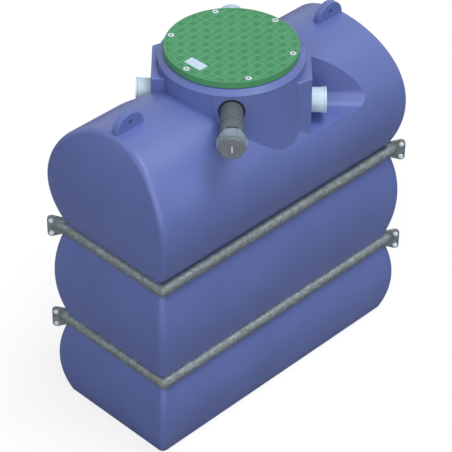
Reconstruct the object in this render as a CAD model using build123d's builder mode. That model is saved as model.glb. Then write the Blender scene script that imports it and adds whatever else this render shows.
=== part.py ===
from build123d import *
import os
from math import radians, sqrt, tan

# Free-standing grease separator: a hollow moulded tank of three stacked lobes on a
# flat base, held by two galvanised tube frames in its grooves, with a round neck,
# a screwed access cover and four pipe connections.
# Millimetres. +Z is up, the long side runs along X, and the origin is the middle of
# the base. The pipes leave along the diagonals of the plan.

# Tube frames in the two grooves: they set the length and the width of the tank
tube_r = 30.15
frame_half_x = 820.0           # centre line of the end legs
frame_half_y = 358.0           # centre line of the side legs
lower_waist_z = 472.0          # height of the lower groove and frame
waist_gap = 586.0              # from the lower frame to the upper one
groove_fit = 0.35              # gap between a tube and its groove
flange_t = 8.0
flange_out = 72.0              # outer edge, from the corner of the centre lines
flange_half_h = 60.0
flange_corner_r = 22.0
flange_disc_r = 44.0           # disc over the end of the tube
flange_disc_in = 6.0           # its centre, inwards from the corner
flange_room = 3.0              # gap between a flange and the lobes
mitre_spare = 60.0             # the tube is drawn this much longer, then cut off
bolt_out = 52.0
bolt_half = 38.0               # half of the distance between the two bolts
bolt_hole_r = 9.0

# Tank moulding
wall = 10.0                    # wall of the moulding
base_half_x = frame_half_x + 8.0
base_half_y = frame_half_y - 8.0
waist_half_x = frame_half_x - 8.0      # where two lobes meet
waist_half_y = frame_half_y - 12.0
lower_bulge_x = frame_half_x + 45.0    # fullest part of the lower lobe
lower_bulge_y = frame_half_y + 38.0
middle_bulge_x = frame_half_x + 46.0   # fullest part of the middle lobe
middle_bulge_y = frame_half_y + 41.0
crown_r = frame_half_y + 60.0          # radius of the vaulted crown
upper_waist_z = lower_waist_z + waist_gap
crown_axis_z = upper_waist_z + 287.0   # height of the axis of the crown
crown_z = crown_axis_z + crown_r
upper_foot_half_y = frame_half_y - 34.0
upper_bulge_x = frame_half_x + 42.0    # fullest part of the ends of the upper lobe
upper_bulge_z = crown_axis_z + 35.0
upper_end_r = 990.0            # radius of these ends, seen from the side
corner_r = 32.0                # rounding where the ends meet the sides
end_cut_x = frame_half_x - 80.0        # the two end shells start here
roof_cut_x = 250.0             # the two halves of the roof start here, beside the neck

# Neck under the cover
neck_rise = 85.0               # height of the neck over the crown
neck_top_r = 358.0             # outside of the neck just under the collar
neck_draft = 5.0               # degrees that the neck widens downwards
side_in = 2.0                  # upright sides towards the two ends, inwards from the top circle
crease_out = 93.0              # where they begin beside the pipe's axis, at the top
crease_lean = 10.0             # degrees that this crease leans back towards the axis
collar_over = 7.0              # overhang of the collar
collar_in = 31.0               # from its widest edge in to its flat top
collar_h = 27.0
collar_edge = 3.0
opening_r = 300.0              # clear opening under the cover

# Box-shaped wings that the inlet and outlet pipes come out of
wing_step = 7.5                # the wing's face stands before the neck by this
wing_half_w = 147.0            # half width of the outer face at its top
wing_drop = 37.0               # top of a wing under the top of the neck
wing_draft = 3.2               # degrees that its sides widen downwards
wing_edge = 8.0                # rounding of its edges
cheek_len = 66.0               # sloped cheek on one side of a wing
cheek_rise = 36.0              # how much wider the wing gets along its cheek

# Troughs in the crown in front of the wings
trough_half_w = 133.0          # from the pipe's axis to the wall, at the floor
trough_under = 103.0           # floor under the axis of the outlet pipe
trough_draft = 8.5             # degrees that its sides lean outwards
trough_fillet = 72.0

# Drain pipes: inlet, outlet and vent
drain_r = 62.5
drain_wall = 3.7
drain_reach = 78.0             # mouth of the inlet and the outlet, from the wing's face
vent_reach = 121.0             # mouth of the vent, from the wall of the neck
pipe_inside = 50.0             # length that stands inside the wall
bead_rise = 3.5                # bead at the mouth
bead_len = 9.0
groove_len = 4.0
rim_rise = 2.0                 # low step behind the bead
rim_len = 9.0
inlet_under = 121.0            # axis of the inlet under the top of the crown
outlet_under = 172.0           # axis of the outlet under the top of the crown
upper_pipe_under = 78.0        # axis of vent and suction pipes under the top of the neck

# Rubber seals
seal_rise = 9.5                # lip over the pipe
hole_rise = 5.0                # hole in the wall, over the pipe
wing_lip = 3.0                 # lip before the face of a wing
neck_lip = 10.0                # lip before the sloped wall of the neck
seal_fit = 0.2                 # gap between a seal and what it sits in or holds

# Suction connection
suction_r = 55.0
suction_wall = 3.2
stub_len = 128.0               # stub up to the socket, from the wall of the neck
socket_rise = 2.0
socket_edge = 3.0
socket_len = 97.0              # socket up to the nut
thread_len = 13.0              # thread that the nut is screwed on
nut_len = 60.0
nut_r = 67.0
nut_edge = 4.0
nut_lug_w = 22.0
nut_lug_rise = 4.5
nut_lug_count = 6
cap_len = 18.0
cap_r = 59.0
cap_edge = 3.0
cap_bar_w = 9.0
cap_bar_len = 38.0
cap_bar_h = 6.0

# Access cover
cover_r = 330.0
cover_t = 35.0
cover_edge = 3.0
cover_border = 13.0            # smooth border round the tread
tread_depth = 1.5              # depth of the tread field under the border
gasket_in = 8.0                # edge of the gasket, inwards from the cover's edge
gasket_t = 3.0
screw_in = 26.0                # circle of the screws, inwards from the cover's edge
screw_count = 6
screw_seat_r = 15.0
label_len = 106.0
label_w = 53.0
label_t = 1.5
label_x = -244.0               # middle of the plate
label_y = -3.0

# Lifting eyes on the crown
eye_in = 132.0                 # middle of an eye, inwards from the end legs
eye_r = 87.0
eye_t = 38.0
eye_edge = 5.0
eye_hole_r = 11.0
eye_hole_rise = 42.0           # height of the hole over the crown

far = 4 * frame_half_x         # longer than the tank, for cutters that run right through
diagonal = 1 / sqrt(2)
up = Vector(0, 0, 1)
inlet_dir = Vector(-diagonal, diagonal, 0)
outlet_dir = inlet_dir * -1
vent_dir = Vector(diagonal, diagonal, 0)
suction_dir = vent_dir * -1
neck_lean = tan(radians(neck_draft))
neck_top_z = crown_z + neck_rise
neck_foot_z = crown_axis_z + crown_r / 4       # the neck is drawn down to here, under the crown
inlet_z = crown_z - inlet_under
outlet_z = crown_z - outlet_under
upper_pipe_z = neck_top_z - upper_pipe_under
trough_floor_z = outlet_z - trough_under
wing_top_z = neck_top_z - wing_drop
wing_face = neck_top_r + (neck_top_z - outlet_z) * neck_lean + wing_step
neck_wall = neck_top_r + upper_pipe_under * neck_lean
collar_z = neck_top_z + collar_h
cover_z = collar_z + gasket_t
screw_ring_r = cover_r - screw_in
left_corner = Vector(-frame_half_x, frame_half_y, 0)
right_corner = Vector(frame_half_x, -frame_half_y, 0)
nodes = {}


def plan_point(along_inlet, along_vent):
    """A point of the plan, given along the two diagonals that the pipes follow."""
    point = inlet_dir * along_inlet + vent_dir * along_vent
    return (point.X, point.Y)


def keep(name, builder):
    """Label a finished piece and file it under its name."""
    builder.part.label = name
    nodes[name] = builder.part


def side_profile(half_low, half_full, half_high, z_low, z_high):
    """Outline of a bulging lobe: two arcs with a flat foot and top."""
    z_full = (z_low + z_high) / 2
    with BuildLine() as outline:
        ThreePointArc((half_low, z_low), (half_full, z_full), (half_high, z_high))
        Line((half_high, z_high), (-half_high, z_high))
        ThreePointArc((-half_high, z_high), (-half_full, z_full), (-half_low, z_low))
        Line((-half_low, z_low), (half_low, z_low))
    return outline.line


def lobe(z_low, z_high, halves_x, halves_y, radius):
    """A box with bulging sides and ends and rounded upright corners."""
    with BuildPart() as box:
        with BuildSketch(Plane.XZ):
            add(side_profile(*halves_x, z_low, z_high))
            make_face()
        extrude(amount=far / 2, both=True)
        with BuildSketch(Plane.YZ):
            add(side_profile(*halves_y, z_low, z_high))
            make_face()
        extrude(amount=far / 2, both=True, mode=Mode.INTERSECT)
        uprights = box.edges().filter_by(lambda e: e.bounding_box().size.Z > 0.9 * (z_high - z_low))
        fillet(uprights, radius=radius)
    return box.part


def vault(inset):
    """The upper lobe: a vaulted crown between two curved ends."""
    radius = crown_r - inset
    foot_y = upper_foot_half_y - inset
    foot_z = upper_waist_z
    drop = crown_axis_z - foot_z
    spread = radius - foot_y
    side_r = (drop ** 2 + spread ** 2) / (2 * spread)
    side_z = crown_axis_z - drop / 2
    side_y = radius - side_r + sqrt(side_r ** 2 - (drop / 2) ** 2)
    end_r = upper_end_r - inset
    full_x = upper_bulge_x - inset
    top_z = crown_axis_z + radius + wall
    end_x = [full_x - end_r + sqrt(end_r ** 2 - (z - upper_bulge_z) ** 2) for z in (foot_z, top_z)]
    with BuildPart() as box:
        with BuildSketch(Plane.YZ):
            with BuildLine():
                ThreePointArc((foot_y, foot_z), (side_y, side_z), (radius, crown_axis_z))
                ThreePointArc((radius, crown_axis_z), (0, crown_axis_z + radius), (-radius, crown_axis_z))
                ThreePointArc((-radius, crown_axis_z), (-side_y, side_z), (-foot_y, foot_z))
                Line((-foot_y, foot_z), (foot_y, foot_z))
            make_face()
        extrude(amount=far / 2, both=True)
        with BuildSketch(Plane.XZ):
            with BuildLine():
                ThreePointArc((end_x[0], foot_z), (full_x, upper_bulge_z), (end_x[1], top_z))
                Line((end_x[1], top_z), (-end_x[1], top_z))
                ThreePointArc((-end_x[1], top_z), (-full_x, upper_bulge_z), (-end_x[0], foot_z))
                Line((-end_x[0], foot_z), (end_x[0], foot_z))
            make_face()
        extrude(amount=far / 2, both=True, mode=Mode.INTERSECT)
        rims = box.edges().filter_by(lambda e: abs(e.center().X) > end_cut_x and e.bounding_box().max.Z > foot_z + 1)
        fillet(rims, radius=corner_r - inset)
    return box.part


def ring_frame(radius, z):
    """A closed rectangular ring of round bar with mitred corners."""
    x, y = frame_half_x, frame_half_y
    with BuildPart() as ring:
        with BuildLine():
            Polyline((0, -y, z), (x, -y, z), (x, y, z), (-x, y, z), (-x, -y, z), (0, -y, z))
        with BuildSketch(Plane(origin=(0, -y, z), z_dir=(1, 0, 0))):
            Circle(radius)
        sweep(transition=Transition.RIGHT)
    return ring.part


def flange_outline(grow):
    """Outline of a flange: a disc over the tube's end and two lugs outside it."""
    with Locations((-flange_disc_in, 0)):
        Circle(flange_disc_r + grow)
    lug_x = flange_out - flange_corner_r
    lug_z = flange_half_h - flange_corner_r
    with Locations((lug_x, lug_z), (lug_x, -lug_z)):
        Circle(flange_corner_r + grow)
    make_hull()


def flange_pockets(z, grow):
    """Room for the flanges in the lobes at the left and right corners."""
    with BuildPart() as pockets:
        for corner, outward in ((left_corner, inlet_dir), (right_corner, outlet_dir)):
            with BuildSketch(Plane(origin=corner + up * z, x_dir=outward, z_dir=vent_dir)):
                flange_outline(grow)
            extrude(amount=flange_t + grow, both=True)
    return pockets.part


def lobes(inset):
    """The three lobes with their frame grooves: outside, or inside when inset."""
    waist_x, waist_y = waist_half_x - inset, waist_half_y - inset
    lower_x = (base_half_x - inset, lower_bulge_x - inset, waist_x)
    lower_y = (base_half_y - inset, lower_bulge_y - inset, waist_y)
    middle_x = (waist_x, middle_bulge_x - inset, waist_x)
    middle_y = (waist_y, middle_bulge_y - inset, waist_y)
    radius = corner_r - inset
    with BuildPart() as stack:
        add(lobe(inset, lower_waist_z, lower_x, lower_y, radius))
        add(lobe(lower_waist_z, upper_waist_z, middle_x, middle_y, radius))
        add(vault(inset))
        for z in (lower_waist_z, upper_waist_z):
            add(ring_frame(tube_r + groove_fit + inset, z), mode=Mode.SUBTRACT)
            add(flange_pockets(z, flange_room + inset), mode=Mode.SUBTRACT)
    return stack.part


def neck_body(inset):
    """The neck: a drafted cone whose sides towards the two ends stand upright."""
    radius = neck_top_r - inset
    height = neck_top_z - neck_foot_z
    crease_foot = crease_out - height * tan(radians(crease_lean))
    with BuildPart() as neck:
        with BuildSketch(Plane.XY.offset(neck_top_z)):
            Circle(radius)
        extrude(amount=-height, taper=-neck_draft)
        for side in (1, -1):
            with BuildPart(mode=Mode.PRIVATE) as outside:
                with BuildSketch(Plane(origin=up * neck_top_z, x_dir=inlet_dir * side, z_dir=suction_dir * side)):
                    with BuildLine():
                        Polyline((crease_out, 0), (far, 0), (far, height), (crease_foot, height), close=True)
                    make_face()
                extrude(amount=far)
                with BuildSketch(Plane.XY.offset(neck_foot_z)):
                    Circle(radius - side_in)
                extrude(amount=height, mode=Mode.SUBTRACT)
            add(outside.part, mode=Mode.SUBTRACT)
    return neck.part


def wing_body(side, inset):
    """One wing, from its outer face back to the axis of the neck."""
    face = wing_face - inset
    top_z = wing_top_z - inset
    with BuildPart() as wing:
        for z in (neck_foot_z, top_z):
            half = wing_half_w - inset + (wing_top_z - z) * tan(radians(wing_draft))
            with BuildSketch(Plane.XY.offset(z)):
                with BuildLine():
                    Polyline(
                        plan_point(side * face, -side * half),
                        plan_point(side * face, side * half),
                        plan_point(side * (face - cheek_len), side * (half + cheek_rise)),
                        plan_point(0, side * (half + cheek_rise)),
                        plan_point(0, -side * half),
                        close=True,
                    )
                make_face()
        loft(ruled=True)
        if inset == 0:
            outer = wing.edges().filter_by(lambda e: e.center().Z > neck_foot_z + 1)
            outer = outer.filter_by(lambda e: e.center().dot(inlet_dir * side) > 1)
            fillet(outer, radius=wing_edge)
    return wing.part


def trough_cutter(side, grow):
    """The space before a wing: a flat floor and one leaning wall with a large fillet."""
    height = crown_z + wall - trough_floor_z + grow
    wall_foot = trough_half_w + grow
    wall_head = wall_foot + height * tan(radians(trough_draft))
    plane = Plane(
        origin=inlet_dir * side * (wing_face - grow) + up * (trough_floor_z - grow),
        x_dir=vent_dir * -side,
        z_dir=inlet_dir * side,
    )
    with BuildPart() as cutter:
        with BuildSketch(plane):
            with BuildLine():
                Polyline((-far / 2, 0), (wall_foot, 0), (wall_head, height), (-far / 2, height), close=True)
            foot = make_face().vertices().filter_by(lambda v: abs(v.X - wall_foot) < 1)
            fillet(foot, radius=trough_fillet + grow)
        extrude(amount=far / 2)
    return cutter.part


def pipe_plane(direction, z):
    """Plane along a pipe: x is the distance from the neck's axis, y is the radius."""
    return Plane(origin=up * z, x_dir=direction, z_dir=direction.cross(up))


def turned(direction, z, points):
    """A solid of revolution about a pipe's axis from its half section."""
    with BuildPart() as piece:
        with BuildSketch(pipe_plane(direction, z)):
            with BuildLine():
                Polyline(*points, close=True)
            make_face()
        revolve(axis=Axis(up * z, direction))
    return piece


def bore_cutter(direction, z, radius):
    """A round cutter along a pipe's axis, outwards from the axis of the neck."""
    with BuildPart() as cutter:
        with BuildSketch(Plane(origin=up * z, z_dir=direction)):
            Circle(radius)
        extrude(amount=far / 4)
    return cutter.part


# The moulding: an outside, an inside, and what is left between them
neck_outside = neck_body(0)
neck_inside = neck_body(wall)
wing_outside = {side: wing_body(side, 0) for side in (1, -1)}
wing_inside = {side: wing_body(side, wall) for side in (1, -1)}
lobes_outside = lobes(0)

with BuildPart() as inside:
    add(lobes(wall))
    for side in (1, -1):
        add(trough_cutter(side, wall), mode=Mode.SUBTRACT)

with BuildPart() as shell:
    add(lobes_outside)
    for side in (1, -1):
        add(trough_cutter(side, 0), mode=Mode.SUBTRACT)
    add(inside.part, mode=Mode.SUBTRACT)
    add(neck_inside, mode=Mode.SUBTRACT)
    for side in (1, -1):
        add(wing_inside[side], mode=Mode.SUBTRACT)


def slab(x_low, x_high, y_low, y_high, z_low, z_high):
    """A block between two corners, for dividing the moulding."""
    with BuildPart() as block:
        with BuildSketch(Plane.XY.offset(z_low)):
            with Locations(((x_low + x_high) / 2, (y_low + y_high) / 2)):
                Rectangle(x_high - x_low, y_high - y_low)
        extrude(amount=z_high - z_low)
    return block.part


divisions = {
    "lower_left_end": (-far, -end_cut_x, -far, far, 0, lower_waist_z),
    "lower_right_end": (end_cut_x, far, -far, far, 0, lower_waist_z),
    "middle_left_end": (-far, -end_cut_x, -far, far, lower_waist_z, upper_waist_z),
    "middle_right_end": (end_cut_x, far, -far, far, lower_waist_z, upper_waist_z),
    "upper_left_end": (-far, -end_cut_x, -far, far, upper_waist_z, far),
    "upper_right_end": (end_cut_x, far, -far, far, upper_waist_z, far),
    "tank_floor": (-end_cut_x, end_cut_x, -far, far, 0, wall),
    "lower_front_wall": (-end_cut_x, end_cut_x, -far, 0, wall, lower_waist_z),
    "lower_back_wall": (-end_cut_x, end_cut_x, 0, far, wall, lower_waist_z),
    "middle_front_wall": (-end_cut_x, end_cut_x, -far, 0, lower_waist_z, upper_waist_z),
    "middle_back_wall": (-end_cut_x, end_cut_x, 0, far, lower_waist_z, upper_waist_z),
    "left_roof": (-end_cut_x, -roof_cut_x, -far, far, upper_waist_z, far),
    "right_roof": (roof_cut_x, end_cut_x, -far, far, upper_waist_z, far),
    "upper_front_wall": (-roof_cut_x, roof_cut_x, -far, 0, upper_waist_z, far),
    "upper_back_wall": (-roof_cut_x, roof_cut_x, 0, far, upper_waist_z, far),
}
for name, corners in divisions.items():
    with BuildPart() as piece:
        add(shell.part)
        add(slab(*corners), mode=Mode.INTERSECT)
    keep(name, piece)

# Neck and wings stand on the crown. The neck is divided along the pipes' diagonals.
with BuildPart() as neck:
    add(neck_outside)
    add(neck_inside, mode=Mode.SUBTRACT)
    for side in (1, -1):
        add(wing_inside[side], mode=Mode.SUBTRACT)
    add(lobes_outside, mode=Mode.SUBTRACT)
    add(bore_cutter(vent_dir, upper_pipe_z, drain_r + hole_rise), mode=Mode.SUBTRACT)
    add(bore_cutter(suction_dir, upper_pipe_z, suction_r + hole_rise), mode=Mode.SUBTRACT)

for name, first, second in (
    ("neck_left", (far, 0), (0, -far)),
    ("neck_front", (0, -far), (-far, 0)),
    ("neck_right", (-far, 0), (0, far)),
    ("neck_back", (0, far), (far, 0)),
):
    with BuildPart() as quarter:
        with BuildSketch():
            with BuildLine():
                Polyline((0, 0), plan_point(*first), plan_point(*second), close=True)
            make_face()
        extrude(amount=far)
        add(neck.part, mode=Mode.INTERSECT)
    keep(name, quarter)

for name, side, direction, z in (
    ("inlet_wing", 1, inlet_dir, inlet_z),
    ("outlet_wing", -1, outlet_dir, outlet_z),
):
    cutter = bore_cutter(direction, z, drain_r + hole_rise)
    with BuildPart() as wing:
        add(wing_outside[side])
        add(wing_inside[side], mode=Mode.SUBTRACT)
        add(neck_outside, mode=Mode.SUBTRACT)
        add(lobes_outside, mode=Mode.SUBTRACT)
        add(cutter, mode=Mode.SUBTRACT)
    keep(name, wing)
    for piece_name in ("left_roof", "right_roof", "upper_front_wall", "upper_back_wall"):
        with BuildPart() as piece:
            add(nodes[piece_name])
            add(cutter, mode=Mode.SUBTRACT)
        keep(piece_name, piece)

with BuildPart() as neck_collar:
    with BuildSketch(Plane.XZ):
        with BuildLine():
            Polyline(
                (opening_r, neck_top_z),
                (neck_top_r + collar_over, neck_top_z),
                (neck_top_r + collar_over - collar_in, collar_z),
                (opening_r, collar_z),
                close=True,
            )
        outer = make_face().vertices().filter_by(lambda v: v.X > opening_r + 1)
        fillet(outer, radius=collar_edge)
    revolve(axis=Axis.Z)
keep("neck_collar", neck_collar)

# Lifting eyes: half discs standing on the crown
eye_x = frame_half_x - eye_in
for name, x in (("left_lifting_eye", -eye_x), ("right_lifting_eye", eye_x)):
    with BuildPart() as eye:
        with BuildSketch(Plane.XZ):
            with Locations((x, crown_z)):
                Circle(eye_r)
        extrude(amount=eye_t / 2, both=True)
        fillet(eye.edges().filter_by(GeomType.CIRCLE), radius=eye_edge)
        with BuildSketch(Plane.XZ):
            with Locations((x, crown_z + eye_hole_rise)):
                Circle(eye_hole_r)
        extrude(amount=eye_t, both=True, mode=Mode.SUBTRACT)
        add(lobes_outside, mode=Mode.SUBTRACT)
    keep(name, eye)

# Access cover, its gasket and its bare label plate
with BuildPart() as cover_gasket:
    with BuildSketch(Plane.XY.offset(collar_z)):
        Circle(cover_r - gasket_in)
        Circle(opening_r, mode=Mode.SUBTRACT)
    extrude(amount=gasket_t)
keep("cover_gasket", cover_gasket)

with BuildPart() as access_cover:
    with BuildSketch(Plane.XY.offset(cover_z)):
        Circle(cover_r)
    extrude(amount=cover_t)
    rim = access_cover.edges().filter_by(GeomType.CIRCLE).sort_by(Axis.Z)[-1]
    fillet(rim, radius=cover_edge)
    with BuildSketch(Plane.XY.offset(cover_z + cover_t - tread_depth)):
        Circle(cover_r - cover_border)
        with PolarLocations(screw_ring_r, screw_count):
            Circle(screw_seat_r, mode=Mode.SUBTRACT)
    extrude(amount=tread_depth, mode=Mode.SUBTRACT)
keep("access_cover", access_cover)

with BuildPart() as label_plate:
    with BuildSketch(Plane.XY.offset(cover_z + cover_t - tread_depth)):
        with Locations((label_x, label_y)):
            Rectangle(label_w, label_len)
    extrude(amount=tread_depth + label_t)
keep("label_plate", label_plate)

# Drain stubs with a beaded mouth
for name, direction, z, start, reach in (
    ("inlet_pipe", inlet_dir, inlet_z, wing_face, drain_reach),
    ("outlet_pipe", outlet_dir, outlet_z, wing_face, drain_reach),
    ("vent_pipe", vent_dir, upper_pipe_z, neck_wall, vent_reach),
):
    bore_r = drain_r - drain_wall
    inner_end = start - wall - pipe_inside
    mouth = start + reach
    bead_from = mouth - bead_len
    groove_from = bead_from - groove_len
    rim_from = groove_from - rim_len
    keep(name, turned(direction, z, (
        (inner_end, bore_r),
        (mouth, bore_r),
        (mouth, drain_r + bead_rise),
        (bead_from, drain_r + bead_rise),
        (bead_from, drain_r),
        (groove_from, drain_r),
        (groove_from, drain_r + rim_rise),
        (rim_from, drain_r + rim_rise),
        (rim_from, drain_r),
        (inner_end, drain_r),
    )))

# Rubber seals: a sleeve in the hole and a lip that lies on the wall
for name, direction, z, start, lip, pipe_r, carrier in (
    ("inlet_seal", inlet_dir, inlet_z, wing_face, wing_lip, drain_r, wing_outside[1]),
    ("outlet_seal", outlet_dir, outlet_z, wing_face, wing_lip, drain_r, wing_outside[-1]),
    ("vent_seal", vent_dir, upper_pipe_z, neck_wall, neck_lip, drain_r, neck_outside),
    ("suction_seal", suction_dir, upper_pipe_z, neck_wall, neck_lip, suction_r, neck_outside),
):
    seal = turned(direction, z, (
        (start - wall, pipe_r + seal_fit),
        (start + lip, pipe_r + seal_fit),
        (start + lip, pipe_r + seal_rise),
        (start - wall, pipe_r + seal_rise),
    ))
    sleeve = turned(direction, z, (
        (start - wall, pipe_r + seal_fit),
        (start + lip, pipe_r + seal_fit),
        (start + lip, pipe_r + hole_rise - seal_fit),
        (start - wall, pipe_r + hole_rise - seal_fit),
    ))
    with BuildPart() as fitted:
        add(seal.part)
        add(carrier, mode=Mode.SUBTRACT)
        add(sleeve.part)
    keep(name, fitted)

# Suction connection: stub, socket, union nut and end cap
stub_end = neck_wall + stub_len
nut_from = stub_end + socket_len
nut_to = nut_from + nut_len
cap_to = nut_to + cap_len
suction_bore_r = suction_r - suction_wall
socket_r = suction_r + socket_rise
keep("suction_pipe", turned(suction_dir, upper_pipe_z, (
    (neck_wall - wall - pipe_inside, suction_bore_r),
    (stub_end, suction_bore_r),
    (stub_end, suction_r),
    (neck_wall - wall - pipe_inside, suction_r),
)))
keep("suction_socket", turned(suction_dir, upper_pipe_z, (
    (stub_end, suction_bore_r),
    (nut_from + thread_len, suction_bore_r),
    (nut_from + thread_len, suction_r),
    (nut_from, suction_r),
    (nut_from, socket_r),
    (stub_end + socket_edge, socket_r),
    (stub_end, socket_r - socket_edge),
)))
nut_body = turned(suction_dir, upper_pipe_z, (
    (nut_from, suction_r + seal_fit),
    (nut_to, suction_r + seal_fit),
    (nut_to, nut_r - nut_edge / 2),
    (nut_from + nut_edge, nut_r),
    (nut_from, nut_r - nut_edge),
))
lug_plane = Plane(
    origin=suction_dir * (nut_from + nut_edge) + up * upper_pipe_z,
    x_dir=up,
    z_dir=suction_dir,
)
with BuildPart() as suction_nut:
    add(nut_body.part)
    with BuildSketch(lug_plane):
        with PolarLocations(nut_r, nut_lug_count, start_angle=180 / nut_lug_count):
            RectangleRounded(2 * nut_lug_rise, nut_lug_w, nut_edge)
    extrude(amount=nut_len - 2 * nut_edge)
keep("suction_nut", suction_nut)

cap_body = turned(suction_dir, upper_pipe_z, (
    (nut_to, 0),
    (cap_to, 0),
    (cap_to, cap_r - cap_edge),
    (cap_to - cap_edge, cap_r),
    (nut_to, cap_r),
))
bar_plane = Plane(
    origin=suction_dir * cap_to + up * upper_pipe_z,
    x_dir=up,
    z_dir=suction_dir,
)
with BuildPart() as suction_cap:
    add(cap_body.part)
    with BuildSketch(bar_plane):
        SlotOverall(cap_bar_len, cap_bar_w)
    extrude(amount=cap_bar_h)
keep("suction_cap", suction_cap)

# Tube frames: a near half and a far half, bolted at the left and right corners
for level, z in (("lower", lower_waist_z), ("upper", upper_waist_z)):
    for half, side in (("near", -1), ("far", 1)):
        own_dir = vent_dir * side
        mid_corner = Vector(side * frame_half_x, side * frame_half_y, z)
        left_end = Vector(-frame_half_x - max(side, 0) * mitre_spare, frame_half_y - min(side, 0) * mitre_spare, z)
        right_end = Vector(frame_half_x - min(side, 0) * mitre_spare, -frame_half_y - max(side, 0) * mitre_spare, z)
        with BuildPart() as frame:
            with BuildLine():
                Polyline(left_end, mid_corner, right_end)
            with BuildSketch(Plane(origin=left_end, z_dir=(mid_corner - left_end).normalized())):
                Circle(tube_r)
            sweep(transition=Transition.RIGHT)
            for corner in (left_corner, right_corner):
                with BuildSketch(Plane(origin=corner + up * z + own_dir * flange_t, z_dir=own_dir)):
                    Rectangle(4 * mitre_spare, 4 * mitre_spare)
                extrude(amount=-2 * mitre_spare, mode=Mode.SUBTRACT)
            for corner, outward in ((left_corner, inlet_dir), (right_corner, outlet_dir)):
                with BuildSketch(Plane(origin=corner + up * z, x_dir=outward, z_dir=own_dir)):
                    flange_outline(0)
                    with Locations((bolt_out, bolt_half), (bolt_out, -bolt_half)):
                        Circle(bolt_hole_r, mode=Mode.SUBTRACT)
                extrude(amount=flange_t)
        keep(f"{level}_{half}_frame", frame)

os.makedirs("parts", exist_ok=True)
for name, part in nodes.items():
    export_step(part, f"parts/{name}.step")
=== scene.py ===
from math import cos, pi, radians, sin, sqrt

import bmesh
import bpy
from mathutils import Matrix, Vector


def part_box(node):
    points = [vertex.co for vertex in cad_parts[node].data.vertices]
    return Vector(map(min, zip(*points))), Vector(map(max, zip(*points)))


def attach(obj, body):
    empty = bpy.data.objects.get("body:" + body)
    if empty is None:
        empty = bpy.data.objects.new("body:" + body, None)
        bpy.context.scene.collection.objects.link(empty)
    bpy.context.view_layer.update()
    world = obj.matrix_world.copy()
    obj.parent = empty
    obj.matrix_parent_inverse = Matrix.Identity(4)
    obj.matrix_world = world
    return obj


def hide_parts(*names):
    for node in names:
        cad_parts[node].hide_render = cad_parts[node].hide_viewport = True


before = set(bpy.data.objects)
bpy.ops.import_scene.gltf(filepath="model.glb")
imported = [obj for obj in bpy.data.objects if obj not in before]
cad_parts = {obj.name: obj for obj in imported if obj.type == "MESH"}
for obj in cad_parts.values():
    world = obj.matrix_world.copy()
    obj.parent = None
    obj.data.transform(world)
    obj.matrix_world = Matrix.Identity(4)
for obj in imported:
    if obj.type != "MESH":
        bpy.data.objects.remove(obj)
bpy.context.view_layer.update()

bl_info = {
    "name": "Grease Separator",
    "version": (1, 0, 0),
    "blender": (4, 5, 0),
    "location": "View3D > Sidebar > Separator",
    "description": "Dresses the packed grease separator: skin, frames, cover and pipe fittings",
    "category": "Object",
}

BODY = "root"
ALONG = Vector((1, 0, 0))
UP = Vector((0, 0, 1))
INLET = Vector((-1, 1, 0)).normalized()
VENT = Vector((1, 1, 0)).normalized()

LOBES = ("lower", "middle", "upper")
MOULDING = (
    "tank_floor",
    "lower_front_wall",
    "lower_back_wall",
    "middle_front_wall",
    "middle_back_wall",
    "upper_front_wall",
    "upper_back_wall",
    "left_roof",
    "right_roof",
    *(f"{lobe}_{side}_end" for lobe in LOBES for side in ("left", "right")),
)
NECK = (
    "neck_front",
    "neck_back",
    "neck_left",
    "neck_right",
    "neck_collar",
    "inlet_wing",
    "outlet_wing",
)
EYES = ("left_lifting_eye", "right_lifting_eye")
FRAMES = ("lower_near_frame", "lower_far_frame", "upper_near_frame", "upper_far_frame")

# Points this near are one, and faces this level and this near lie in a plane
MERGE = 0.00002
LEVEL = 0.9999
NEAR = 0.00005

FLOOR_HALF = 30.0
SENSOR_WIDTH = 36.0
CLIP_END = 100.0
WHITE = (1.0, 1.0, 1.0, 1.0)


# Materials


class Wire:
    """The output of a shader node. Sums and products of wires add Math nodes."""

    def __init__(self, nodes, socket):
        self.nodes = nodes
        self.socket = socket

    def math(self, operation, *values):
        """A Math node that is fed with these values or wires."""
        return self.nodes.node("ShaderNodeMath", {"operation": operation}, *values)

    def __add__(self, other):
        return self.math("ADD", self, other)

    def __radd__(self, other):
        return self.math("ADD", other, self)

    def __sub__(self, other):
        return self.math("SUBTRACT", self, other)

    def __rsub__(self, other):
        return self.math("SUBTRACT", other, self)

    def __mul__(self, other):
        return self.math("MULTIPLY", self, other)

    def __rmul__(self, other):
        return self.math("MULTIPLY", other, self)

    def __truediv__(self, other):
        return self.math("DIVIDE", self, other)

    def step(self, low, high):
        """0 below low, 1 above high, and smooth between them."""
        settings = {"interpolation_type": "SMOOTHSTEP"}
        return self.nodes.node("ShaderNodeMapRange", settings, self, low, high)


class Nodes:
    """The node tree of a material or a world, emptied but for a new output node."""

    def __init__(self, owner, output):
        owner.use_nodes = True
        self.tree = owner.node_tree
        self.tree.nodes.clear()
        self.output = self.tree.nodes.new(output)

    def show(self, shader):
        """Makes a wire the surface that the output node gives."""
        self.feed(self.output.inputs["Surface"], shader)

    def node(self, kind, settings=None, *values, out=0, **named):
        """A node of any kind: its settings, then the values or wires of its inputs."""
        made = self.tree.nodes.new(kind)
        for key, value in (settings or {}).items():
            setattr(made, key, value)
        for key, value in [*enumerate(values), *named.items()]:
            self.feed(made.inputs[key], value)
        return Wire(self, made.outputs[out])

    def feed(self, socket, value):
        """Links a wire to a socket, or sets a plain value on it."""
        if isinstance(value, Wire):
            self.tree.links.new(value.socket, socket)
        else:
            socket.default_value = value


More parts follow.
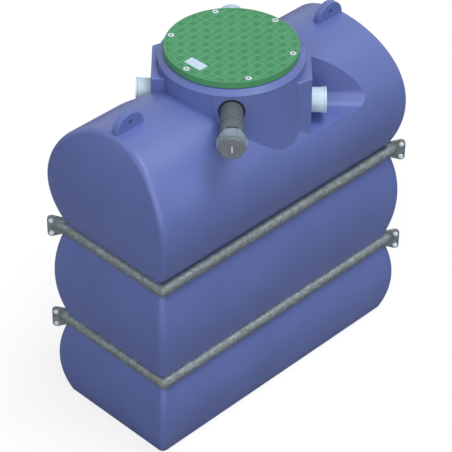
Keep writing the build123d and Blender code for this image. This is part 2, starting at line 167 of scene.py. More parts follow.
class Finish(Nodes):
    """A material with one Principled surface and the nodes that feed it."""

    def __init__(self, name):
        self.material = bpy.data.materials.new(name)
        super().__init__(self.material, "ShaderNodeOutputMaterial")
        self.shader = self.tree.nodes.new("ShaderNodeBsdfPrincipled")
        self.principled = Wire(self, self.shader.outputs[0])
        self.show(self.principled)
        self.place = self.node("ShaderNodeTexCoord", out="Object")

    def noise(self, scale, detail, roughness, distortion=0.0, stretch=None):
        """Cloudy values about 0.5, with scale in lumps per metre."""
        place = self.place
        if stretch:
            place = self.node("ShaderNodeMapping", None, place, Scale=stretch)
        return self.node(
            "ShaderNodeTexNoise",
            None,
            Vector=place,
            Scale=scale,
            Detail=detail,
            Roughness=roughness,
            Distortion=distortion,
        )

    def crystals(self, scale):
        """A random value for each irregular cell, with scale in cells per metre."""
        cells = self.node(
            "ShaderNodeTexVoronoi", None, Vector=self.place, Scale=scale, out="Color"
        )
        return self.node("ShaderNodeSeparateColor", None, cells)

    def blend(self, share, first, second):
        """The first colour where share is 0 and the second where it is 1."""
        made = self.tree.nodes.new("ShaderNodeMix")
        made.data_type = "RGBA"
        for place, value in ((0, share), (6, first), (7, second)):
            self.feed(made.inputs[place], value)
        return Wire(self, made.outputs[2])

    def bump(self, height, distance, strength=1.0):
        """A normal from a height that is 1 at distance metres."""
        return self.node(
            "ShaderNodeBump", None, Strength=strength, Distance=distance, Height=height
        )

    def surface(self, **inputs):
        """Feeds the Principled surface, whose inputs are named in lower case with underscores."""
        for key, value in inputs.items():
            name = key.replace("_", " ").title().replace("Ior", "IOR")
            self.feed(self.shader.inputs[name], value)
        return self.material


def colour(value, strength=1.0):
    """A property's colour as four numbers, lighter or darker by strength."""
    return (value[0] * strength, value[1] * strength, value[2] * strength, 1.0)


def moulding_finish(props):
    """Moulded polyethylene: a fine matt skin with cloudy tone and faint scuffs."""
    finish = Finish("moulded_blue_plastic")
    cloud = finish.noise(2.3, 4, 0.55)
    grain = finish.noise(420.0, 3, 0.6)
    waves = finish.noise(7.0, 2, 0.4)
    scuffs = finish.noise(26.0, 5, 0.7, 1.6, stretch=(1.0, 1.0, 0.25)).step(0.66, 0.78)
    base = finish.blend(
        cloud.step(0.25, 0.75),
        colour(props.skin, 0.93),
        colour(props.skin, 1.07),
    )
    base = finish.blend(grain.step(0.35, 0.8) * 0.10, base, colour(props.skin, 1.5))
    base = finish.blend(scuffs * 0.12, base, colour(props.skin, 1.9))
    height = grain * 0.5 + waves * 4.0
    return finish.surface(
        base_color=base,
        roughness=0.30 + 0.10 * cloud + 0.10 * scuffs,
        specular_ior_level=0.45,
        normal=finish.bump(height, 0.00035, props.grain),
    )


def cover_finish(props):
    """Green moulded cover, with painted shade in the sunk squares of the tread, deeper in every
    other square.
    """
    finish = Finish("green_cover_plastic")
    cloud = finish.noise(6.0, 4, 0.55)
    grain = finish.noise(600.0, 2, 0.5)
    dust = finish.noise(38.0, 5, 0.7).step(0.5, 0.8)
    base = finish.blend(
        cloud.step(0.3, 0.7),
        colour(props.ground, 0.94),
        colour(props.ground, 1.06),
    )
    base = finish.blend(dust * 0.15, base, colour(props.ground, 1.45))
    x = finish.node("ShaderNodeSeparateXYZ", None, finish.place, out="X")
    y = finish.node("ShaderNodeSeparateXYZ", None, finish.place, out="Y")
    distance = x * x + y * y
    # Painted shade: the sunk part of each square inside the tread field is darkened, where the ribs
    # would shade the ground between them.
    sunk = distance.math("LESS_THAN", distance, props.field**2)
    parity = 0.0
    for axis in (x, y):
        cell = axis / props.cell + 0.5
        whole = cell.math("FLOOR", cell)
        off = cell - whole - 0.5
        edge = off.math("ABSOLUTE", off)
        sunk = sunk * edge.math("LESS_THAN", edge, props.sunk_half)
        parity = parity + whole
    # Painted shade: the squares of one parity take the full dark tone and the others three tenths
    # of it, as if lit from one side across the ribs.
    less_shaded_square = parity.math("FLOORED_MODULO", parity, 2.0)
    base = finish.blend(sunk * (1.0 - 0.7 * less_shaded_square), base, colour(props.sunk))
    return finish.surface(
        base_color=base,
        roughness=0.50 + 0.10 * cloud,
        specular_ior_level=0.4,
        normal=finish.bump(grain, 0.0002),
    )


def tread_highlight_finish(name, tone):
    """The tops of the tread, a lighter green than the ground: painted highlight on the raised ribs
    and ridges.
    """
    finish = Finish(name)
    cloud = finish.noise(60.0, 4, 0.6)
    base = finish.blend(cloud.step(0.3, 0.7), colour(tone, 0.92), colour(tone, 1.08))
    return finish.surface(base_color=base, roughness=0.45 + 0.15 * cloud, specular_ior_level=0.4)


def zinc_finish(name, tone, spangle, bright, spread=0.3):
    """Zinc on steel: crystal patches, mottled dull areas and darker stains."""
    finish = Finish(name)
    crystal = finish.crystals(spangle)
    mottle = finish.noise(34.0, 5, 0.68, 0.6)
    stain = finish.noise(9.0, 4, 0.6).step(0.48, 0.72)
    share = crystal * 0.5 + mottle * 0.9 - 0.35
    base = finish.blend(share.step(0.0, 0.8), colour(tone, 1 - spread), colour(tone, 1 + spread))
    base = finish.blend(stain * spread, base, colour(tone, 0.6))
    height = mottle * 0.7 + crystal * 0.12
    return finish.surface(
        base_color=base,
        metallic=bright,
        roughness=0.46 + 0.22 * mottle - 0.06 * crystal,
        normal=finish.bump(height, 0.0006, 0.7),
    )


def plastic_finish(name, tone, roughness, grain_depth):
    """Extruded or moulded plastic with a little cloudiness and fine marks."""
    finish = Finish(name)
    cloud = finish.noise(14.0, 4, 0.6)
    grain = finish.noise(520.0, 2, 0.5)
    marks = finish.noise(70.0, 5, 0.75, 1.0).step(0.60, 0.80)
    base = finish.blend(cloud.step(0.3, 0.7), colour(tone, 0.93), colour(tone, 1.06))
    base = finish.blend(marks * 0.10, base, colour(tone, 0.72))
    return finish.surface(
        base_color=base,
        roughness=roughness + 0.12 * cloud + 0.08 * marks,
        normal=finish.bump(grain + cloud, grain_depth, 0.8),
    )


def rubber_finish():
    """Black rubber with a fine dry bloom."""
    finish = Finish("black_rubber")
    bloom = finish.noise(45.0, 5, 0.65)
    grain = finish.noise(900.0, 2, 0.5)
    base = finish.blend(bloom.step(0.45, 0.8), (0.012, 0.012, 0.013, 1), (0.032, 0.032, 0.034, 1))
    return finish.surface(
        base_color=base,
        roughness=0.62 + 0.16 * bloom,
        specular_ior_level=0.35,
        normal=finish.bump(grain, 0.00015),
    )


# Shapes


def linked(name, data):
    """A new object in the scene."""
    made = bpy.data.objects.new(name, data)
    bpy.context.scene.collection.objects.link(made)
    return made


def meshed(shape, name, material):
    """Turns a bmesh into an object with one material."""
    mesh = bpy.data.meshes.new(name)
    shape.to_mesh(mesh)
    shape.free()
    mesh.materials.append(material)
    return linked(name, mesh)


def place(shape, name, material, slot, sharp=35.0):
    """Turns a bmesh into a smooth named piece that rides on the tank."""
    for face in shape.faces:
        face.smooth = True
    limit = radians(sharp)
    for edge in shape.edges:
        edge.smooth = len(edge.link_faces) == 2 and edge.calc_face_angle(pi) < limit
    piece = meshed(shape, name, material)
    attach(piece, BODY)
    return piece


def even_normals(piece):
    """Large faces set the normals, so that flat parts look flat beside roundings."""
    modifier = piece.modifiers.new("even_normals", "WEIGHTED_NORMAL")
    modifier.mode = "FACE_AREA_WITH_ANGLE"
    modifier.weight = 50
    modifier.keep_sharp = True


def soft_edges(piece, width, limit):
    """Rounds the edges that bend more than the limit."""
    modifier = piece.modifiers.new("soft_edges", "BEVEL")
    modifier.width = width
    modifier.segments = 2
    modifier.limit_method = "ANGLE"
    modifier.angle_limit = radians(limit)
    modifier.use_clamp_overlap = True
    modifier.miter_outer = "MITER_ARC"


def on_plane(face, normal, at):
    """Whether a face lies in the plane with that normal, at that distance from the origin."""
    if abs(face.normal.dot(normal)) < LEVEL:
        return False
    return abs(face.calc_center_median().dot(normal) - at) < NEAR


def smooth_copy(name, nodes, material, slot, sharp=35.0, seams=()):
    """One smooth piece from copies of CAD nodes, without the faces between them."""
    shape = bmesh.new()
    for node in nodes:
        shape.from_mesh(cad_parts[node].data)
    bmesh.ops.remove_doubles(shape, verts=shape.verts, dist=MERGE)
    shape.normal_update()
    inner = [face for face in shape.faces if any(on_plane(face, *seam) for seam in seams)]
    bmesh.ops.delete(shape, geom=inner, context="FACES")
    piece = place(shape, name, material, slot, sharp=sharp)
    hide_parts(*nodes)
    return piece


def facing(direction, at):
    """A matrix that stands a shape made round +Z along a direction, at a point."""
    turn = Vector(direction).to_track_quat("Z", "Y").to_matrix().to_4x4()
    return Matrix.Translation(at) @ turn


def turned(shape, outline, matrix, steps):
    """Spins an outline of (radius, height) points round +Z and puts it in place."""
    before = set(shape.verts)
    points = [shape.verts.new((radius, 0, height)) for radius, height in outline]
    edges = [shape.edges.new(pair) for pair in zip(points, points[1:])]
    bmesh.ops.spin(
        shape,
        geom=points + edges,
        cent=(0, 0, 0),
        axis=(0, 0, 1),
        angle=2 * pi,
        steps=steps,
        use_merge=True,
    )
    made = [vertex for vertex in shape.verts if vertex not in before]
    bmesh.ops.remove_doubles(shape, verts=made, dist=0.000001)
    made = [vertex for vertex in made if vertex.is_valid]
    bmesh.ops.transform(shape, matrix=matrix, verts=made)


def band(shape, low_radius, high_radius, half_width, matrix):
    """A thin band between two radii, open at its inner side."""
    outline = (
        (low_radius, -half_width),
        (high_radius, -half_width),
        (high_radius, half_width),
        (low_radius, half_width),
    )
    turned(shape, outline, matrix, 64)


def prism(shape, sides, radius, low, high, matrix, chamfer):
    """A bar with flat sides between two heights, its rims rounded."""
    made = bmesh.ops.create_cone(
        shape,
        cap_ends=True,
        segments=sides,
        radius1=radius,
        radius2=radius,
        depth=high - low,
        matrix=matrix @ Matrix.Translation((0, 0, (low + high) / 2)),
    )
    edges = dict.fromkeys(edge for vertex in made["verts"] for edge in vertex.link_edges)
    rims = [edge for edge in edges if any(len(face.verts) == sides for face in edge.link_faces)]
    bmesh.ops.bevel(
        shape,
        geom=rims,
        offset=chamfer,
        segments=2,
        profile=0.5,
        affect="EDGES",
        material=-1,
    )


def block(shape, size, matrix):
    """A plain block of that size, centred, then put in place."""
    bmesh.ops.create_cube(shape, size=1.0, matrix=matrix @ Matrix.Diagonal((*size, 1.0)))


def close_up(shape):
    """Merges what meets and turns every face outwards."""
    bmesh.ops.remove_doubles(shape, verts=shape.verts, dist=0.000002)
    bmesh.ops.recalc_face_normals(shape, faces=shape.faces)


# Properties


def length(name, description, default):
    """A length in metres."""
    return bpy.props.FloatProperty(
        name=name,
        description=description,
        default=default,
        subtype="DISTANCE",
        unit="LENGTH",
        precision=5,
    )


def number(name, description, default):
    """A plain number, or an angle in degrees where the description says so."""
    return bpy.props.FloatProperty(name=name, description=description, default=default)


def count(name, description, default):
    return bpy.props.IntProperty(name=name, description=description, default=default)


def tone(name, description, default):
    return bpy.props.FloatVectorProperty(
        name=name,
        description=description,
        default=default,
        subtype="COLOR",
        size=3,
        min=0.0,
        max=1.0,
    )


def vector(name, description, default, subtype="XYZ"):
    return bpy.props.FloatVectorProperty(
        name=name, description=description, default=default, subtype=subtype
    )


class TankProps(bpy.types.PropertyGroup):
    skin: tone("Moulding", "Colour of the moulded tank", (0.128, 0.175, 0.462))
    grain: number("Grain", "Strength of the moulded grain", 0.6)
    edge: length("Edge", "Rounding of the moulded edges", 0.0035)
    sharp: number("Sharp edges", "Edges that bend more than this stay sharp, in degrees", 32.0)


class FrameProps(bpy.types.PropertyGroup):
    zinc: tone("Zinc", "Colour of the galvanised tubes", (0.235, 0.275, 0.290))
    tube: length("Tube radius", "Radius of the frame tubes", 0.03015)
    half_x: length("Frame half length", "From the middle to the axis of the end tubes", 0.820)
    half_y: length("Frame half width", "From the middle to the axis of the side tubes", 0.358)
    weld: length("Weld bead", "Thickness of the weld beads", 0.004)
    bolt_out: length("Bolt distance", "From the corner of the tubes to the bolts", 0.052)
    bolt_half: length("Bolt half spacing", "Half of the distance between two bolts", 0.038)
    flange_t: length("Flange", "Thickness of one flange", 0.008)
    bolt_end: length("Bolt end", "From the flange to the end of a bolt", 0.0145)
    bolt_radius: length("Bolt radius", "Radius of a bolt", 0.006)
    nut_width: length("Nut width", "Width of a nut across its flats", 0.020)
    nut_top: length("Nut top", "From the flange to the outer face of a nut or a head", 0.0098)
    washer_radius: length("Washer radius", "Radius of a washer", 0.013)
    washer: length("Washer", "Thickness of a washer", 0.002)
    bolt_tone: tone("Bolts", "Colour of the bright zinc bolts", (0.78, 0.87, 0.92))


class CoverProps(bpy.types.PropertyGroup):
    ground: tone("Cover", "Colour of the cover", (0.078, 0.318, 0.140))
    # Painted shade: the dark tone laid into the sunk squares between the ribs.
    sunk: tone("Sunk squares", "Colour of the cover between the ribs", (0.022, 0.120, 0.050))
    # Painted highlight: the ribs and ridges are given lighter greens than the ground, as lit raised
    # tops.
    ribs: tone("Ribs", "Colour of the worn ribs", (0.106, 0.415, 0.200))
    ridges: tone("Ridges", "Colour of the ridges between the squares", (0.128, 0.475, 0.236))
    sunk_half: number("Sunk share", "Half of the sunk part of a cell", 0.40)
    field: length("Tread field", "Radius of the field of the tread", 0.3155)
    depth: length("Tread depth", "Depth of the field under the border", 0.0015)
    cell: length("Tread cell", "Side of one square of the tread", 0.0435)
    rib_width: length("Rib width", "Width of one rib", 0.0040)
    ridge_width: length("Ridge width", "Width of the ridges between the squares", 0.0024)
    rib_end: length("Rib end", "From the end of a rib to the edge of its square", 0.004)
    rib_edge: length("Rib edge", "Chamfer of the ribs and the ridges", 0.0006)
    rib_count: count("Ribs", "Ribs in one square of the tread", 5)
    screw_ring: length("Screw circle", "Radius of the circle of the cover screws", 0.304)
    screw_count: count("Screws", "Number of cover screws", 6)
    screw_head: length("Screw head", "Radius of a screw's disc", 0.0155)
    screw_room: length("Screw room", "Radius round a screw that stays free of ribs", 0.019)
    screw: tone("Screws", "Colour of the discs of the cover screws", (0.80, 0.84, 0.98))
    # Painted shade: the dark tone of the six-sided pieces that stand for the shaded hollows of the
    # screw sockets.
    socket: tone("Sockets", "Colour of the sockets of the cover screws", (0.10, 0.11, 0.20))
    label: tone("Label", "Colour of the bare label plate", (0.63, 0.80, 0.98))


class PipeProps(bpy.types.PropertyGroup):
    pale: tone("Pipes", "Colour of the pale pipe stubs", (0.68, 0.86, 0.97))
    dark: tone("Suction pipe", "Colour of the suction pipe", (0.108, 0.134, 0.150))
    coupling: tone("Cap", "Colour of the cap", (0.190, 0.215, 0.240))
    nut: tone("Union nut", "Colour of the union nut", (0.245, 0.320, 0.390))
    # Painted shade: the dark tone of the bands laid in the gaps between the suction fittings.
    joint: tone("Joints", "Colour of the gaps between the suction fittings", (0.030, 0.035, 0.038))
    neck_top: length("Neck radius", "Radius of the neck at its top", 0.358)
    neck_lean: number("Neck lean", "How far the neck widens per metre down", 0.0875)
    lip: length("Seal lip", "How far a seal's lip stands out of the neck", 0.004)
    bead_rise: length("Bead rise", "Height of the bead at the mouth of a stub", 0.0035)
    bead_len: length("Bead length", "Length of the bead at the mouth of a stub", 0.009)
    groove_back: length("Groove", "From the mouth of a stub to its second groove", 0.0205)
    groove_half: length("Groove half width", "Half of the width of a groove", 0.0008)
    groove_rise: length("Groove rise", "How far the band in a groove stands out", 0.0004)
    groove_sink: length("Groove sink", "How far the band in a groove goes into the wall", 0.001)
    joint_half: length("Joint half width", "Half of the width of a joint", 0.0016)
    joint_rise: length("Joint rise", "How far a joint stands out of the suction pipe", 0.0022)
    joint_sink: length("Joint sink", "Height of the band that marks a joint", 0.004)
    nut_joint_rise: length("Nut joint rise", "How much further the nut's joint stands out", 0.002)
    nut_joint_back: length("Nut joint", "From the widest part of the nut to its joint", 0.018)
    nut_edge: length("Nut edge", "Rounding of the union nut", 0.003)
    cap_round: length("Cap rounding", "Rounding of the cap", 0.002)
    cap_edge: length("Cap edge", "Chamfer of the cap", 0.003)
    bar_rise: length("Bar rise", "Height of the bar on the cap", 0.006)
    bar_width: length("Bar width", "Width of the pale bar on the cap", 0.0085)
    bar_length: length("Bar length", "Length of the pale bar on the cap", 0.034)
    bar_thick: length("Bar thickness", "Thickness of the pale bar on the cap", 0.0012)
    mark: tone("Cap bar", "Colour of the bar on the cap", (0.62, 0.76, 0.84))
    # Painted shade: the dark tone of the bands laid in the grooves near the mouths.
    groove: tone("Grooves", "Colour of the grooves near the mouths", (0.24, 0.33, 0.39))


class StageProps(bpy.types.PropertyGroup):
    azimuth: number("Azimuth", "Direction of the camera, in degrees", -45.35)
    elevation: number("Elevation", "Height angle of the camera, in degrees", 37.79)
    roll: number("Roll", "Turn of the camera about its view, in degrees", 0.39)
    lens: number("Lens", "Focal length in millimetres", 171.84)
    camera: vector("Camera", "Place of the camera", (-6.2370, -6.1314, 7.5856), "TRANSLATION")
    key: number("Key light", "Strength of the stronger lamp", 1.6)
    key_softness: number("Key softness", "Width of the stronger lamp, in degrees", 32.0)
    key_from: vector("Key direction", "Direction towards the stronger lamp", (0.22, -0.26, 1.0))
    fill: number("Fill light", "Strength of the weaker lamp", 1.5)
    fill_softness: number("Fill softness", "Width of the weaker lamp, in degrees", 70.0)
    fill_from: vector("Fill direction", "Direction towards the weaker lamp", (-1.0, -0.9, 0.6))
    sky: number("Sky", "Strength of the even light around", 0.29)
    floor: tone("Floor", "Colour of the floor", (0.26, 0.26, 0.26))
    glow: number("Floor glow", "Light that the camera sees on the floor", 0.78)


# Operators


class SEPARATOR_OT_tank(bpy.types.Operator):
    """Covers the moulded tank, its neck and its lifting eyes with one plastic skin"""

    bl_idname = "separator.tank"
    bl_label = "Tank"

    def execute(self, context):
        props = context.scene.separator_tank
        skin = moulding_finish(props)
        floors = ("tank_floor", "lower_front_wall", "middle_front_wall")
        seams = [(ALONG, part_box(node)[1].x) for node in ("upper_left_end", "left_roof")]
        seams += [(ALONG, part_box(node)[0].x) for node in ("upper_right_end", "right_roof")]
        seams += [(UP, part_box(node)[1].z) for node in floors]
        body = smooth_copy("tank_skin", MOULDING, skin, "tank_moulding", props.sharp, seams)
        seams = [(INLET, 0.0), (VENT, 0.0)]
        neck = smooth_copy("neck_skin", NECK, skin, "tank_moulding", props.sharp, seams)
        eyes = smooth_copy("eye_skin", EYES, skin, "tank_moulding", props.sharp)
        for piece in (body, neck, eyes):
            soft_edges(piece, props.edge, props.sharp)
            even_normals(piece)
        return {"FINISHED"}


def frame_corners(props):
    """The four corners where the frame halves meet, each with its outward direction."""
    corners = []
    for node in ("lower_near_frame", "upper_near_frame"):
        low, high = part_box(node)
        left = Vector((-props.half_x, props.half_y, (low.z + high.z) / 2))
        right = Vector((-left.x, -left.y, left.z))
        corners += [(left, INLET), (right, -INLET)]
    return corners


class SEPARATOR_OT_frames(bpy.types.Operator):
    """Gives the tube frames and their flanges a galvanised finish and weld beads"""

    bl_idname = "separator.frames"
    bl_label = "Frames"

    def execute(self, context):
        props = context.scene.separator_frames
        zinc = zinc_finish("galvanised_tube", props.zinc, spangle=90.0, bright=0.55)
        for node in FRAMES:
            even_normals(smooth_copy(node + "_skin", [node], zinc, "galvanised_steel", 30.0))
        self.welds(props)
        return {"FINISHED"}

    def welds(self, props):
        """A bead round each tube where it meets its flange, an oval at the mitre."""
        shape = bmesh.new()
        thickness = props.weld / props.tube
        angles = [2 * pi * n / 8 for n in range(9)]
        bead = [(1 + thickness * cos(angle), props.weld * sin(angle)) for angle in angles]
        for corner, outward in frame_corners(props):
            for side in (VENT, -VENT):
                centre = corner + (side - outward) * props.flange_t
                oval = Matrix((outward * props.tube * sqrt(2), UP * props.tube, side))
                stand = Matrix.Translation(centre) @ oval.transposed().to_4x4()
                turned(shape, bead, stand, 40)
        close_up(shape)
        zinc = zinc_finish("weld_zinc", props.zinc, spangle=260.0, bright=0.6)
        place(shape, "weld_beads", zinc, "galvanised_steel", sharp=60.0)


class SEPARATOR_OT_bolts(bpy.types.Operator):
    """Bolts, washers and nuts of the flanges"""

    bl_idname = "separator.bolts"
    bl_label = "Flange bolts"

    def execute(self, context):
        props = context.scene.separator_frames
        bright = zinc_finish("bright_zinc", props.bolt_tone, 300.0, bright=0.15, spread=0.08)
        nut_radius = props.nut_width / sqrt(3)
        shape = bmesh.new()
        for corner, outward in frame_corners(props):
            for side in (1, -1):
                centre = corner + outward * props.bolt_out + UP * side * props.bolt_half
                near = facing(-VENT, centre - VENT * props.flange_t)
                far = facing(VENT, centre + VENT * props.flange_t)
                for stand in (near, far):
                    prism(shape, 32, props.washer_radius, 0.0, props.washer, stand, 0.0005)
                    prism(shape, 6, nut_radius, props.washer, props.nut_top, stand, 0.0010)
                radius = props.bolt_radius
                prism(shape, 24, radius, props.nut_top, props.bolt_end, near, 0.0012)
        bmesh.ops.recalc_face_normals(shape, faces=shape.faces)
        place(shape, "flange_bolts", bright, "galvanised_steel")
        return {"FINISHED"}


class SEPARATOR_OT_cover(bpy.types.Operator):
    """The cover with its tread of crossed ribs, its screws and the bare label plate"""

    bl_idname = "separator.cover"
    bl_label = "Access cover"

    def execute(self, context):
        props = context.scene.separator_cover
        ground = cover_finish(props)
        even_normals(smooth_copy("cover_skin", ["access_cover"], ground, "cover_green", 40.0))
        smooth_copy("gasket_skin", ["cover_gasket"], rubber_finish(), "seal_rubber", 40.0)
        white = plastic_finish("white_label", props.label, roughness=0.35, grain_depth=0.00005)
        smooth_copy("label_skin", ["label_plate"], white, "label_white", 40.0)
        self.tread(props)
        self.screws(props)
        return {"FINISHED"}

    def screw_places(self, props):
        """The middle of each screw, at the height of the cover's top."""
        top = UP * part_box("access_cover")[1].z
        angles = [2 * pi * n / props.screw_count for n in range(props.screw_count)]
        return [Vector((cos(a), sin(a), 0)) * props.screw_ring + top for a in angles]

    def tread(self, props):
        """Squares of ribs that run along X and Y in turn, between thin ridges."""
        hatch, lines = bmesh.new(), bmesh.new()
        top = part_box("access_cover")[1].z
        low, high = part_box("label_plate")
        reach = int(props.field / props.cell) + 2
        margin = props.rib_width / 2
        screws = [screw.xy for screw in self.screw_places(props)]

        def rib(shape, centre, along_x, half, width, height):
            """One bar, shortened at the edge of the field and at the label, none by a screw."""
            across = centre.y if along_x else centre.x
            middle = centre.x if along_x else centre.y
            limit = props.field**2 - across**2
            if limit <= 0:
                return
            start = max(middle - half, -sqrt(limit))
            end = min(middle + half, sqrt(limit))
            if end - start < 2 * width:
                return

            run, side = (0, 1) if along_x else (1, 0)
            beside = low[side] - margin < across < high[side] + margin
            if beside and start < high[run] and end > low[run]:
                if low[run] - start > end - high[run]:
                    end = low[run]
                else:
                    start = high[run]
            if end - start < width:
                return

            middle = (start + end) / 2
            spot = Vector((middle, across)) if along_x else Vector((across, middle))
            if any((spot - screw).length < props.screw_room for screw in screws):
                return
            size = (end - start, width, height) if along_x else (width, end - start, height)
            block(shape, size, Matrix.Translation((spot.x, spot.y, top - props.depth + height / 2)))

        pitch = props.cell / props.rib_count
        for row in range(-reach, reach + 1):
            for column in range(-reach, reach + 1):
                centre = Vector((column, row)) * props.cell
                along_x = (row + column) % 2 == 0
                for n in range(props.rib_count):
                    shift = (n - (props.rib_count - 1) / 2) * pitch
                    spot = centre + (Vector((0, shift)) if along_x else Vector((shift, 0)))
                    half = props.cell / 2 - props.rib_end
                    rib(hatch, spot, along_x, half, props.rib_width, props.depth * 0.7)
                half = props.cell / 2
                spot = centre + Vector((0, half))
                rib(lines, spot, True, half, props.ridge_width, props.depth)
                spot = centre + Vector((half, 0))
                rib(lines, spot, False, half, props.ridge_width, props.depth)
        middle = top - props.depth / 2
        # Painted highlight: the ribs and ridges take their lighter tones.
        for shape, name, shade in (
            (hatch, "cover_ribs", props.ribs),
            (lines, "cover_ridges", props.ridges),
        ):
            edges = [edge for edge in shape.edges if all(v.co.z > middle for v in edge.verts)]
            bmesh.ops.bevel(
                shape,
                geom=edges,
                offset=props.rib_edge,
                segments=1,
                profile=0.5,
                affect="EDGES",
                material=-1,
            )
            place(shape, name, tread_highlight_finish(name, shade), "cover_green", sharp=25.0)

    def screws(self, props):
        """Round discs with painted shade in each: a dark six-sided piece where the socket's hollow
        would be in shade, from (radius, height) points.
        """
        shape, sockets = bmesh.new(), bmesh.new()
        outline = (
            (0.0, 0.0004),
            (0.0074, 0.0004),
            (0.0082, 0.0012),
            (props.screw_head - 0.001, 0.0012),
            (props.screw_head, 0.0003),
            (props.screw_head, -props.depth),
        )
        socket = (
            (0.0022, 0.0012),
            (0.0028, 0.0004),
            (0.0060, 0.0006),
            (0.0066, 0.0010),
            (0.0070, 0.0004),
        )
        for at in self.screw_places(props):
            stand = facing(UP, at)
            turned(shape, outline, stand, 40)
            turned(sockets, socket, stand, 6)
        close_up(shape)
        close_up(sockets)
        white = plastic_finish("screw_white", props.screw, roughness=0.35, grain_depth=0.00005)
        place(shape, "cover_screws", white, "label_white", sharp=30.0)
        # Painted shade: the six-sided pieces are dark where the sockets would be in shade.
        dark = plastic_finish("screw_socket", props.socket, roughness=0.5, grain_depth=0.00005)
        place(sockets, "screw_socket_shade", dark, "label_white")


class SEPARATOR_OT_pipes(bpy.types.Operator):
    """The pale pipe stubs in their rubber seals"""

    bl_idname = "separator.pipes"
    bl_label = "Pipe stubs"

    def execute(self, context):
        props = context.scene.separator_pipes
        pale = plastic_finish("pale_pipe", props.pale, roughness=0.30, grain_depth=0.00008)
        rubber = rubber_finish()
        groove_shade_bands = bmesh.new()
        for name, direction in (("inlet", INLET), ("outlet", -INLET), ("vent", VENT)):
            smooth_copy(name + "_pipe_skin", [name + "_pipe"], pale, "pipe_pale", 30.0)
            low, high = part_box(name + "_pipe")
            bead = (high.z - low.z) / 2
            mouth = sum(max(low[n] * direction[n], high[n] * direction[n]) for n in range(3)) - bead
            radius = bead - props.bead_rise
            # Painted shade: a dark band in each of two grooves near the mouth, where the groove
            # would be in shade.
            for back in (props.bead_len + props.groove_half, props.groove_back):
                stand = facing(direction, direction * (mouth - back) + UP * (low.z + high.z) / 2)
                sunk, raised = radius - props.groove_sink, radius + props.groove_rise
                band(groove_shade_bands, sunk, raised, props.groove_half, stand)
        close_up(groove_shade_bands)
        grey = plastic_finish("pipe_groove", props.groove, roughness=0.5, grain_depth=0.00005)
        place(groove_shade_bands, "pipe_groove_shade", grey, "pipe_pale")
        for name in ("inlet", "outlet", "vent", "suction"):
            seal = smooth_copy(name + "_seal_skin", [name + "_seal"], rubber, "seal_rubber", 30.0)
            if name in ("vent", "suction"):
                self.seat_lip(seal, props, VENT if name == "vent" else -VENT)
        return {"FINISHED"}

    def seat_lip(self, seal, props, direction):
        """Pulls the lip of a seal back until it lies just on the drafted wall of the neck."""
        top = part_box("neck_front")[1].z
        for vertex in seal.data.vertices:
            radius = props.neck_top + (top - vertex.co.z) * props.neck_lean + props.lip
            distance = Vector(vertex.co.xy).length
            if distance > radius:
                vertex.co -= direction * (distance - radius)


class SEPARATOR_OT_suction(bpy.types.Operator):
    """The dark suction pipe with its socket, union nut and cap"""

    bl_idname = "separator.suction"
    bl_label = "Suction connection"

    def execute(self, context):
        props = context.scene.separator_pipes
        dark = plastic_finish("dark_suction_pipe", props.dark, roughness=0.32, grain_depth=0.00008)
        grey = plastic_finish("grey_coupling", props.coupling, roughness=0.42, grain_depth=0.00012)
        steel = plastic_finish("grey_nut", props.nut, roughness=0.34, grain_depth=0.00012)
        smooth_copy("suction_pipe_skin", ["suction_pipe"], dark, "suction_grey", 30.0)
        smooth_copy("suction_socket_skin", ["suction_socket"], dark, "suction_grey", 30.0)
        nut = smooth_copy("suction_nut_skin", ["suction_nut"], steel, "coupling_grey", 30.0)
        soft_edges(nut, props.nut_edge, 30.0)
        cap = smooth_copy("suction_cap_skin", ["suction_cap"], grey, "coupling_grey", 30.0)
        soft_edges(cap, props.cap_round, 30.0)
        self.details(props)
        return {"FINISHED"}

    def details(self, props):
        """Painted shade as dark bands in the gaps where the fittings meet, and the pale bar on the
        cap.
        """
        low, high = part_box("suction_pipe")
        middle = UP * (low.z + high.z) / 2
        outer = (high.z - low.z) / 2 + props.joint_rise
        gaps = bmesh.new()
        for node, rise, back in (
            ("suction_socket", 0.0, 0.0),
            ("suction_nut", props.nut_joint_rise, props.nut_joint_back),
        ):
            low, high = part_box(node)
            start = (high.z - low.z) / 2 - high.x * sqrt(2)
            stand = facing(-VENT, middle - VENT * (start - back))
            raised = outer + rise
            band(gaps, raised - props.joint_sink, raised, props.joint_half, stand)
        close_up(gaps)
        # Painted shade: the bands are dark where the gaps would be in shade.
        black = plastic_finish("fitting_gap_shade", props.joint, roughness=0.6, grain_depth=0.00005)
        place(gaps, "suction_gap_shade", black, "suction_grey")

        low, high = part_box("suction_cap")
        face = -low.x * sqrt(2) - (high.z - low.z) / 2 + props.cap_edge + props.bar_rise
        bar = bmesh.new()
        stand = facing(-VENT, middle - VENT * face)
        block(bar, (props.bar_width, props.bar_length, props.bar_thick), stand)
        close_up(bar)
        pale = plastic_finish("pale_cap_bar", props.mark, roughness=0.4, grain_depth=0.00005)
        place(bar, "cap_bar_mark", pale, "coupling_grey")


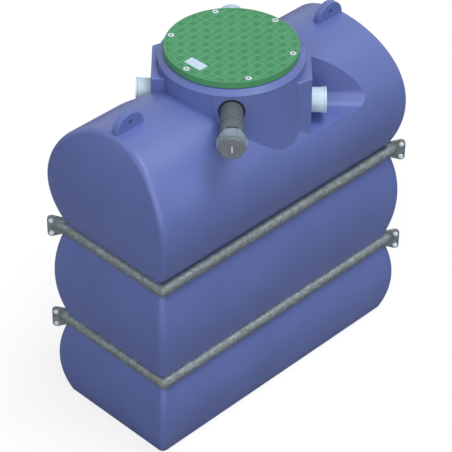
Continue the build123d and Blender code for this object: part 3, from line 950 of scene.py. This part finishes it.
class SEPARATOR_OT_stage(bpy.types.Operator):
    """Floor, soft light and the camera"""

    bl_idname = "separator.stage"
    bl_label = "Stage"

    def execute(self, context):
        props = context.scene.separator_stage
        context.scene.view_settings.view_transform = "Standard"
        self.floor(props)
        self.sky(props)
        self.lamp("key_light", props.key, props.key_from, props.key_softness)
        self.lamp("fill_light", props.fill, props.fill_from, props.fill_softness)
        self.camera(props)
        return {"FINISHED"}

    def lamp(self, name, energy, direction, width):
        """A sun lamp that shines from a direction, with that width in degrees."""
        lamp = bpy.data.lights.new(name, "SUN")
        lamp.energy = energy
        lamp.angle = radians(width)
        sun = linked(name, lamp)
        sun.rotation_mode = "QUATERNION"
        sun.rotation_quaternion = Vector(direction).to_track_quat("Z", "Y")

    def floor(self, props):
        """A large pale floor, lighter for the camera than for the tank above it."""
        finish = Finish("pale_floor")
        finish.surface(base_color=colour(props.floor), roughness=0.9, specular_ior_level=0.1)
        seen = finish.node("ShaderNodeLightPath", out="Is Camera Ray")
        glow = finish.node("ShaderNodeEmission", None, Color=WHITE, Strength=props.glow)
        both = finish.node("ShaderNodeAddShader", None, finish.principled, glow)
        finish.show(finish.node("ShaderNodeMixShader", None, seen, finish.principled, both))
        shape = bmesh.new()
        bmesh.ops.create_grid(shape, x_segments=1, y_segments=1, size=FLOOR_HALF)
        meshed(shape, "floor", finish.material)

    def sky(self, props):
        """Even light, and plain white where the background itself or its reflection is seen."""
        world = bpy.data.worlds.new("studio")
        bpy.context.scene.world = world
        nodes = Nodes(world, "ShaderNodeOutputWorld")
        path = nodes.tree.nodes.new("ShaderNodeLightPath")
        rays = ("Is Camera Ray", "Is Glossy Ray", "Is Transmission Ray")
        seen, glossy, through = (Wire(nodes, path.outputs[ray]) for ray in rays)
        seen = seen.math("MAXIMUM", seen.math("MAXIMUM", seen, glossy), through)
        light = nodes.node("ShaderNodeBackground", None, Strength=props.sky)
        shown = nodes.node("ShaderNodeBackground", None, Color=WHITE)
        nodes.show(nodes.node("ShaderNodeMixShader", None, seen, light, shown))

    def camera(self, props):
        """The camera that was fitted to the photo."""
        turn, rise, roll = radians(props.azimuth), radians(props.elevation), radians(props.roll)
        back = Vector((sin(turn) * cos(rise), -cos(turn) * cos(rise), sin(rise)))
        level = Vector((cos(turn), sin(turn), 0))
        upright = back.cross(level)
        right = level * cos(roll) + upright * sin(roll)
        upward = upright * cos(roll) - level * sin(roll)
        data = bpy.data.cameras.new("camera")
        data.lens = props.lens
        data.sensor_width = SENSOR_WIDTH
        data.clip_end = CLIP_END
        camera = linked("camera", data)
        turned_view = Matrix((right, upward, back)).transposed().to_4x4()
        camera.matrix_world = Matrix.Translation(props.camera) @ turned_view
        bpy.context.scene.camera = camera


class SEPARATOR_PT_panel(bpy.types.Panel):
    """Steps and values of the grease separator"""

    bl_idname = "SEPARATOR_PT_panel"
    bl_label = "Grease Separator"
    bl_space_type = "VIEW_3D"
    bl_region_type = "UI"
    bl_category = "Separator"

    def draw(self, context):
        for name, group in GROUPS.items():
            box = self.layout.box()
            for key in group.__annotations__:
                box.prop(getattr(context.scene, name), key)
        for step in STEPS:
            self.layout.operator(step.bl_idname)


GROUPS = {
    "separator_tank": TankProps,
    "separator_frames": FrameProps,
    "separator_cover": CoverProps,
    "separator_pipes": PipeProps,
    "separator_stage": StageProps,
}
STEPS = (
    SEPARATOR_OT_stage,
    SEPARATOR_OT_tank,
    SEPARATOR_OT_frames,
    SEPARATOR_OT_bolts,
    SEPARATOR_OT_cover,
    SEPARATOR_OT_pipes,
    SEPARATOR_OT_suction,
)


def register():
    for name, group in GROUPS.items():
        bpy.utils.register_class(group)
        setattr(bpy.types.Scene, name, bpy.props.PointerProperty(type=group))
    for step in STEPS:
        bpy.utils.register_class(step)
    bpy.utils.register_class(SEPARATOR_PT_panel)


def unregister():
    bpy.utils.unregister_class(SEPARATOR_PT_panel)
    for step in reversed(STEPS):
        bpy.utils.unregister_class(step)
    for name, group in reversed(GROUPS.items()):
        delattr(bpy.types.Scene, name)
        bpy.utils.unregister_class(group)


def main():
    register()
    for step in STEPS:
        area, name = step.bl_idname.split(".")
        getattr(getattr(bpy.ops, area), name)()


if __name__ == "__main__":
    main()
